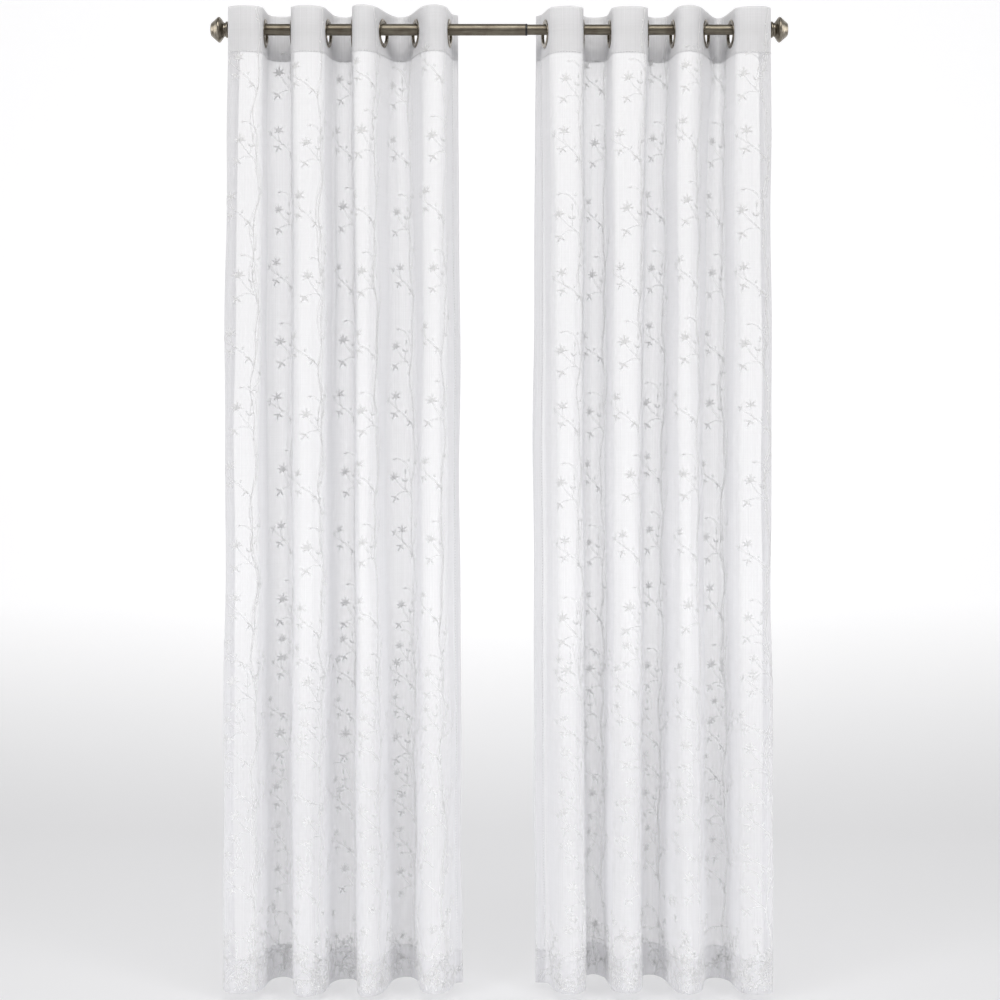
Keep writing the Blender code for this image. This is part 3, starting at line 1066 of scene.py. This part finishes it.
def leaf(work, spot, base, angle, length, width, rise, bend=0.0):
    """A leaf or petal from its base, at this angle in degrees from straight up."""
    turn = math.radians(angle) + math.radians(bend) * (LEAF_SHARES - 0.5)
    way = np.stack((np.sin(turn), np.cos(turn)), axis=1)
    line = np.array(base, float) + way * (LEAF_SHARES * length)[:, None]
    swell = LEAF_SWELLS * width * spot.size
    work.strand(on_cloth(spot, line), swell, rise * (0.4 + 0.6 * LEAF_SWELLS))


def leaf_cluster(work, spot, base, angle, reach, rise):
    """Three narrow pointed lobes from one base, the middle one longest."""
    for turn, share in ((-60, 0.7), (0, 1.0), (54, 0.76)):
        leaf(work, spot, base, angle + turn, reach * share, reach * 0.25, rise, turn * 0.5)


def blossom(work, spot, centre, angle, reach, petals, rise):
    """A flower seen half open: a fan of narrow petals over a small cup."""
    for i in range(petals):
        share = i / (petals - 1) - 0.5
        petal = reach * (1.0 - 0.6 * share * share) * (1.0 if i % 2 else 0.9)
        leaf(work, spot, centre, angle + share * 200, petal, reach * 0.27, rise, share * 34)
    leaf(work, spot, centre, angle + 180, reach * 0.34, reach * 0.34, rise)


def bud_shoot(work, spot, root, tip, width, rise):
    """An upright shoot with a pair of leaves part way up, and a long bud on its tip."""
    root, tip = np.array(root, float), np.array(tip, float)
    lean = math.degrees(math.atan2(tip[0] - root[0], tip[1] - root[1]))
    middle = root + (tip - root) * 0.5 + np.array((2.0, 0.0))
    stalk(work, spot, (root, middle, tip), width, rise)
    pair = root + (tip - root) * 0.52
    leaf(work, spot, pair, lean - 58, 11, 4.4, rise, 30)
    leaf(work, spot, pair, lean + 58, 10, 4.2, rise, -30)
    leaf(work, spot, tip, lean + 4, 14, 4.0, rise)


def branch_sprig(work, spot, rise):
    """A branch that climbs away from the stem to a flower, with leaf clusters below it."""
    stalk(work, spot, ((0, 0), (-8, 26), (-38, 40), (-66, 60)), 1.8, rise)
    stalk(work, spot, ((-42, 45), (-50, 56), (-47, 70)), 1.5, rise)
    blossom(work, spot, (-47, 69), -8, 15.5, 5, rise)
    leaf_cluster(work, spot, (-66, 60), -62, 14, rise)
    stalk(work, spot, ((-34, 41), (-42, 40), (-47, 34)), 1.4, rise)
    leaf_cluster(work, spot, (-47, 35), -158, 17, rise)
    leaf_cluster(work, spot, (-9, 20), -140, 15, rise)
    leaf(work, spot, (-2, 8), 46, 10, 3.6, rise)
    leaf(work, spot, (-24, 36), 22, 8, 3.0, rise)


def bloom_sprig(work, spot, rise):
    """A flower on a short stalk, a bud shoot, a leaf cluster and an arching tendril."""
    stalk(work, spot, ((0, 0), (-8, 16), (-26, 22), (-38, 46)), 1.7, rise)
    blossom(work, spot, (-39, 47), -22, 16, 6, rise)
    bud_shoot(work, spot, (-15, 17), (-11, 52), 1.5, rise)
    stalk(work, spot, ((-7, 11), (-26, 16), (-40, 4)), 1.5, rise)
    leaf_cluster(work, spot, (-40, 4), -145, 18, rise)
    stalk(work, spot, ((3, 34), (3, 66), (-8, 88), (-30, 90)), 1.4, rise)
    leaf(work, spot, (-29, 90), -104, 10, 3.6, rise)
    leaf(work, spot, (-2, 80), 38, 8, 3.0, rise)


def side_shoot(work, spot, rise):
    """A thin shoot on the other side of the stem."""
    stalk(work, spot, ((0, 0), (6, 10), (12, 26)), 1.7, rise)
    bud_shoot(work, spot, (12, 26), (20, 66), 1.6, rise)
    leaf(work, spot, (4, 8), 70, 9, 4.2, rise)


def climbing_stem(work, rng, centre, length, width, rise):
    """A wavy stem from hem to heading with a thin companion; returns its line's function."""
    sway, phase, drift = rng.uniform(4, 7), rng.uniform(0, 6.28), rng.uniform(-6, 6)

    def place(down):
        wave = sway * np.sin(down / 46.5 + phase) + 3.2 * np.sin(down / 19 + 2 * phase)
        return centre + wave + drift * np.sin(down / 410 + phase)

    down = np.linspace(length - 6, 5, int(length / 6))
    share = np.linspace(0.0, 1.0, len(down))
    line = np.stack((place(down), down), axis=1)
    widths = width * (1.08 - 0.25 * share + 0.1 * np.sin(down / 11))
    work.strand(line, widths, rise * (0.9 + 0.1 * np.sin(down / 7)))
    for _ in range(5):
        foot = rng.uniform(500, length - 10)
        run = rng.uniform(260, 480)
        down = np.linspace(foot, max(8, foot - run), int(run / 7))
        twist = rng.uniform(5, 9) * np.sin((foot - down) / rng.uniform(34, 52))
        line = np.stack((place(down) + twist, down), axis=1)
        work.strand(line, np.full(len(down), width * 0.58), np.full(len(down), rise * 0.8))
    down, hand = length - 24.0, 1
    while down > 20:
        spot = Spot(float(place(down)), down, 0, 1.0, 1)
        angle = hand * rng.uniform(24, 52)
        leaf(work, spot, (0, 0), angle, rng.uniform(5, 9), 2.4, rise)
        down -= rng.uniform(20, 44)
        hand = -hand
    return place


CLOSE_SPRIGS = 640  # how far up from the hem there are extra sprigs


def build_sprigs(side):
    """Climbing stems with alternating sprigs, over the whole height of a panel."""
    width, length, pitch = in_mm("cloth_sizes", "width", "length", "eyelet_pitch")
    stem, rise, repeat = in_mm("thread_sizes", "stem", "rise", "repeat")
    half_repeat = repeat / 2
    rng = random.Random(11 if side == "left" else 23)
    work = Stitchwork(width)
    for i in range(EYELETS - 1):
        centre = 170 + pitch * i + rng.uniform(-5, 5)
        place = climbing_stem(work, rng, centre, length, stem, rise)
        down = length - 195 + rng.uniform(-16, 16)
        step = i % 2 if side == "left" else (i + 1) % 2
        while down > 70:
            spot = Spot(
                float(place(down)), down, rng.uniform(-7, 7), rng.uniform(0.94, 1.1), 1
            )
            draw = branch_sprig if step % 2 == 0 else bloom_sprig
            draw(work, spot, rise)
            if rng.random() < 0.72:
                up = down - rng.uniform(30, 90)
                turn = rng.uniform(-5, 14)
                side_shoot(work, Spot(float(place(up)), up, turn, 0.95, 1), rise)
            if down > length - CLOSE_SPRIGS:
                low = down - half_repeat / 2 + rng.uniform(-10, 10)
                spot = Spot(
                    float(place(low)) - rng.uniform(0, 26), low, rng.uniform(-16, 10), 0.86, 1
                )
                (bloom_sprig if step % 2 == 0 else branch_sprig)(work, spot, rise)
                spot = Spot(float(place(low)) + 4, low + 22, rng.uniform(-8, 16), 0.8, -1)
                branch_sprig(work, spot, rise)
            step += 1
            down -= half_repeat + rng.uniform(-4, 4)
    piece = work.piece(f"embroidered_sprigs_{side}", side)
    return finish_piece(piece, "thread", "voile")


def open_flower(work, spot, reach, rise):
    """A small flower worked in outline, with five round petals."""
    for i in range(5):
        angle = 72 * i + 15
        turn = np.linspace(-1.0, 1.0, 8)
        swing = np.radians(angle + 33 * turn * (1 - np.abs(turn) ** 3))
        out = reach * (1 - np.abs(turn) ** 2.4) ** 0.6
        line = np.stack((np.sin(swing) * out, np.cos(swing) * out), axis=1)
        line[0] = line[-1] = (0.0, 0.0)
        flat = on_cloth(spot, line)
        work.strand(flat, np.full(len(flat), 1.3), np.full(len(flat), rise))
    leaf(work, spot, (0, -1.6), 0, 3.2, 3.0, rise * 1.4)


def border_vine(work, rng, start, foot, climb, width, rise, turning=18, pull=0.9):
    """A curling vine that grows up from the hem with leaves on both sides of it."""
    x, down = start, foot
    heading, curl = rng.uniform(-35, 35), 0.0
    line = [(x, down)]
    for _ in range(int(climb / 5)):
        curl += rng.uniform(-11, 11)
        curl = max(-turning, min(turning, curl * 0.9))
        heading = heading * pull + curl
        x += 5 * math.sin(math.radians(heading))
        down -= 5 * math.cos(math.radians(heading)) * 0.92
        line.append((x, down))
    line = np.array(line)
    share = np.linspace(0.0, 1.0, len(line))
    work.strand(line.copy(), width * (1.05 - 0.4 * share), np.full(len(line), rise))
    for i in range(3, len(line) - 1, 4):
        (x, down), (ahead_x, ahead_down) = line[i], line[i + 1]
        lean = math.degrees(math.atan2(ahead_x - x, down - ahead_down))
        hand = 1 if (i // 4) % 2 else -1
        spot = Spot(x, down, 0, 1.0, 1)
        length = rng.uniform(6, 11)
        leaf(work, spot, (0, 0), lean + hand * rng.uniform(40, 70), length, 2.8, rise)
    return line[-1]


def build_border(side):
    """The dense tangle of vines and small flowers over the hem."""
    width, length = in_mm("cloth_sizes", "width", "length")
    rise, vine, border = in_mm("thread_sizes", "rise", "vine", "border")
    rng = random.Random(37 if side == "left" else 41)
    work = Stitchwork(width)
    eyelets = hung_cloth(side).eyelets

    def thinned(place):
        """Keeps every motif on the front folds, and some of them on the others."""
        return np.searchsorted(eyelets, place) % 2 == 1 or rng.random() < REAR_SHARE

    foot = length - 7
    across = 12.0
    while across < width - 10:
        climb = border * rng.choice((0.6, 0.75, 0.9, 1.0, 1.1))
        end = border_vine(work, rng, across, foot, climb, vine, rise)
        spot = Spot(end[0], end[1], rng.uniform(0, 72), 1.0, 1)
        open_flower(work, spot, rng.uniform(8, 11), rise)
        across += rng.uniform(15, 24) if thinned(across) else 30.0
    across = 8.0
    while across < width - 8:
        climb = rng.uniform(55, 115)
        if thinned(across):
            border_vine(work, rng, across, foot, climb, vine * 0.85, rise, 36, 0.965)
        across += rng.uniform(10, 15)
    for _ in range(120):
        low = rng.random() < 0.5
        up = rng.uniform(12, 88) if low else rng.uniform(70, border)
        spot = Spot(rng.uniform(14, width - 14), length - up, rng.uniform(0, 72), 1.0, 1)
        if thinned(spot.across):
            open_flower(work, spot, rng.uniform(7, 11), rise)
    piece = work.piece(f"embroidered_border_{side}", side)
    return finish_piece(piece, "thread", "voile")


def build_seams(side):
    """Rows of lockstitch that hold the heading, the side hems and the bottom hem."""
    width, length, heading, bottom, hem = in_mm(
        "cloth_sizes", "width", "length", "heading", "bottom_hem", "side_hem"
    )
    work = Stitchwork(width)
    stitch, pitch = 4.4, 6.2  # real stitches are 3 mm long; drawn longer so that they show

    def row(start, end):
        start, end = np.array(start, float), np.array(end, float)
        total = np.linalg.norm(end - start)
        way = (end - start) / total
        for i in range(int(total / pitch)):
            a = start + way * (i * pitch)
            line = np.stack((a, a + way * stitch / 2, a + way * stitch))
            work.strand(line, np.array((0.5, 0.9, 0.5)), np.array((0.5, 1.0, 0.5)))

    for down in (heading - 3.0, length - bottom + 3.0):
        row((4, down), (width - 4, down))
    for across in (hem - 2.5, width - hem + 2.5):
        row((across, heading + 6), (across, length - bottom - 4))
    piece = work.piece(f"seam_stitches_{side}", side)
    return finish_piece(piece, "thread", "voile")


# ---- the studio ------------------------------------------------------------------------


FLOOR_Z = -2.112
BACK_Y = 2.6  # where the sweep stands upright
BEND = 1.2  # radius of the sweep's bend
SWEEP_WIDTH, SWEEP_DEPTH, SWEEP_HEIGHT = 16.0, 12.0, 6.0
# the painted glow of the studio paper, fainter on the floor than at the back
FLOOR_GLOW, BACK_GLOW = 0.40, 0.72


def sweep_material():
    """Seamless studio paper: matt, with a painted glow that is even at the back and fainter on
    the floor.
    """
    made, tree = new_material("matt studio paper with painted glow")
    colours = sizes("finishes")
    place = add(tree, "ShaderNodeTexCoord").outputs["Object"]
    height = add(tree, "ShaderNodeSeparateXYZ", {0: place}).outputs["Z"]
    # painted glow: the paper gives off light itself, fainter towards the floor
    strength = ranged(tree, height, FLOOR_GLOW, BACK_GLOW, start=-2.1, end=-1.5)
    paper = add(tree, "ShaderNodeBsdfDiffuse", {"Color": opaque(colours.paper)})
    values = {"Color": opaque(colours.backdrop), "Strength": strength}
    glow = add(tree, "ShaderNodeEmission", values)
    lit = add(tree, "ShaderNodeAddShader", {0: paper.outputs[0], 1: glow.outputs[0]})
    clear = add(tree, "ShaderNodeBsdfTransparent")
    behind = add(tree, "ShaderNodeNewGeometry").outputs["Backfacing"]
    return surfaced(made, mixed(tree, behind, lit, clear))


def soft_light(name, place, aim, size, power, colour, spread=180):
    lamp = bpy.data.lights.new(name, "AREA")
    lamp.shape, lamp.size, lamp.size_y = "RECTANGLE", *size
    lamp.energy, lamp.color = power, colour
    lamp.spread = math.radians(spread)
    placed = bpy.data.objects.new(name, lamp)
    placed.location = place
    placed.rotation_euler = (Vector(aim) - Vector(place)).to_track_quat("-Z", "Y").to_euler()
    placed.visible_camera = False
    bpy.context.scene.collection.objects.link(placed)


def build_studio():
    """A plain pale sweep, soft lights and the camera."""
    deselect_all()
    bpy.ops.mesh.primitive_plane_add(size=1.0, location=(0.0, 0.0, FLOOR_Z))
    sweep = bpy.context.object
    sweep.name = sweep.data.name = "studio_sweep"
    sweep.scale = (SWEEP_WIDTH, SWEEP_DEPTH, 1.0)
    sweep.location.y = BACK_Y - BEND - SWEEP_DEPTH / 2
    bpy.ops.object.transform_apply(location=True, rotation=True, scale=True)
    far = max(v.co.y for v in sweep.data.vertices)
    select_edges(sweep.data, lambda v: v.co.y > far - 0.01)
    bpy.ops.object.mode_set(mode="EDIT")
    bpy.ops.mesh.select_mode(type="EDGE")
    last = np.zeros(2)
    turns = np.radians(np.linspace(0.0, 90.0, 19))[1:]
    bends = [np.array((math.sin(t), 1 - math.cos(t))) * BEND for t in turns]
    for bend in [*bends, np.array((BEND, SWEEP_HEIGHT))]:
        step = bend - last
        bpy.ops.mesh.extrude_edges_move(
            TRANSFORM_OT_translate={"value": (0.0, step[0], step[1])}
        )
        last = bend
    bpy.ops.mesh.select_all(action="SELECT")
    bpy.ops.mesh.select_mode(type="VERT")
    bpy.ops.object.mode_set(mode="OBJECT")
    if sweep.data.polygons[0].normal.z < 0:
        sweep.data.flip_normals()
    bpy.ops.object.shade_smooth()
    sweep.data.materials.append(sweep_material())
    sweep.select_set(False)

    middle = (0.0, 0.0, -1.35)
    cool, warm = (0.99, 0.992, 1.0), (1.0, 0.985, 0.96)
    soft_light("key_light", (-2.6, -2.1, -1.35), middle, (1.4, 2.6), 10, cool)
    soft_light("fill_light", (2.6, -2.1, -1.35), middle, (1.4, 2.6), 9, cool)
    soft_light("top_light", (0.0, -1.25, 1.25), (0.0, 0.0, -0.1), (2.8, 0.8), 37, warm)
    for name, x in (("low_light_left", -1.9), ("low_light_right", 1.9)):
        soft_light(name, (x, -2.2, -1.3), (0.0, 0.0, -2.1), (1.0, 0.4), 5.8, cool, spread=80)
    for name, x in (("glint_left", -2.7), ("glint_right", 2.7)):
        soft_light(name, (x, 0.0, 0.2), (0.0, 0.0, 0.0), (1.1, 1.1), 14, warm)

    world = bpy.data.worlds.new("studio_room")
    world.use_nodes = True
    background = world.node_tree.nodes["Background"]
    background.inputs["Color"].default_value = (0.22, 0.22, 0.225, 1.0)
    bpy.context.scene.world = world

    camera = bpy.data.cameras.new("camera")
    camera.lens, camera.sensor_width = 69.04, 36.0
    camera.shift_y = -0.094
    camera.clip_end = 60.0
    placed = bpy.data.objects.new("camera", camera)
    placed.location = (0.0, -4.2, -0.824)
    placed.rotation_euler = (math.pi / 2, 0.0, 0.0)
    scene = bpy.context.scene
    scene.collection.objects.link(placed)
    scene.camera = placed
    scene.view_settings.view_transform = "Standard"
    scene.view_settings.look = "None"
    scene.cycles.transparent_max_bounces = 32


# ---- operators -------------------------------------------------------------------------

SEWN_ON = ("heading_tape_", "embroidered_sprigs_", "embroidered_border_", "seam_stitches_")


class CURTAIN_OT_studio(bpy.types.Operator):
    """Add a pale sweep, soft lights and a camera"""

    bl_idname = "curtain.studio"
    bl_label = "Studio"

    def execute(self, context):
        build_studio()
        return {"FINISHED"}


class CURTAIN_OT_rod(bpy.types.Operator):
    """Add the two tubes of the rod and the ring at their joint"""

    bl_idname = "curtain.rod"
    bl_label = "Rod"

    def execute(self, context):
        build_tubes()
        return {"FINISHED"}


class CURTAIN_OT_finials(bpy.types.Operator):
    """Add the two finials"""

    bl_idname = "curtain.finials"
    bl_label = "Finials"

    def execute(self, context):
        build_finials()
        return {"FINISHED"}


class CURTAIN_OT_eyelets(bpy.types.Operator):
    """Add the clinched eyelets of both panels"""

    bl_idname = "curtain.eyelets"
    bl_label = "Eyelets"

    def execute(self, context):
        build_eyelets()
        return {"FINISHED"}


class CURTAIN_OT_tapes(bpy.types.Operator):
    """Add the heading tape of each panel"""

    bl_idname = "curtain.tapes"
    bl_label = "Heading tapes"

    def execute(self, context):
        for side in SIDES:
            build_tape(side)
        return {"FINISHED"}


class CURTAIN_OT_sprigs(bpy.types.Operator):
    """Add the embroidered stems and sprigs of each panel"""

    bl_idname = "curtain.sprigs"
    bl_label = "Embroidered sprigs"

    def execute(self, context):
        for side in SIDES:
            build_sprigs(side)
        return {"FINISHED"}


class CURTAIN_OT_borders(bpy.types.Operator):
    """Add the embroidered border over each panel's hem"""

    bl_idname = "curtain.borders"
    bl_label = "Embroidered borders"

    def execute(self, context):
        for side in SIDES:
            build_border(side)
        return {"FINISHED"}


class CURTAIN_OT_seams(bpy.types.Operator):
    """Add the lockstitch rows of each panel"""

    bl_idname = "curtain.seams"
    bl_label = "Seam stitches"

    def execute(self, context):
        for side in SIDES:
            build_seams(side)
        return {"FINISHED"}


class CURTAIN_OT_voile(bpy.types.Operator):
    """Add the two voile panels"""

    bl_idname = "curtain.voile"
    bl_label = "Voile panels"

    def execute(self, context):
        cloth = sizes("cloth_sizes")
        for side in SIDES:
            voile = build_voile(side)
            names = [name + side for name in SEWN_ON]
            sewn = [bpy.data.objects[name] for name in names if name in bpy.data.objects]
        return {"FINISHED"}


OPERATORS = (
    CURTAIN_OT_studio,
    CURTAIN_OT_rod,
    CURTAIN_OT_finials,
    CURTAIN_OT_eyelets,
    CURTAIN_OT_tapes,
    CURTAIN_OT_sprigs,
    CURTAIN_OT_borders,
    CURTAIN_OT_seams,
    CURTAIN_OT_voile,
)


class CURTAIN_PT_panel(bpy.types.Panel):
    """Lists the pieces and their sizes"""

    bl_idname = "CURTAIN_PT_panel"
    bl_label = "Curtains"
    bl_space_type = "VIEW_3D"
    bl_region_type = "UI"
    bl_category = "Curtains"

    def draw(self, context):
        for operator in OPERATORS:
            self.layout.operator(operator.bl_idname)
        for name, group in GROUPS.items():
            box = self.layout.box()
            box.label(text=group.__doc__)
            for key in group.__annotations__:
                box.prop(getattr(context.scene, name), key)


def register():
    for cls in (*GROUPS.values(), *OPERATORS, CURTAIN_PT_panel):
        bpy.utils.register_class(cls)
    for name, group in GROUPS.items():
        setattr(bpy.types.Scene, name, bpy.props.PointerProperty(type=group))


def unregister():
    for name in GROUPS:
        delattr(bpy.types.Scene, name)
    for cls in (CURTAIN_PT_panel, *reversed(OPERATORS), *GROUPS.values()):
        bpy.utils.unregister_class(cls)


def main():
    register()
    bpy.ops.curtain.studio()
    bpy.ops.curtain.rod()
    bpy.ops.curtain.finials()
    bpy.ops.curtain.eyelets()
    bpy.ops.curtain.tapes()
    bpy.ops.curtain.sprigs()
    bpy.ops.curtain.borders()
    bpy.ops.curtain.seams()
    bpy.ops.curtain.voile()


if __name__ == "__main__":
    main()
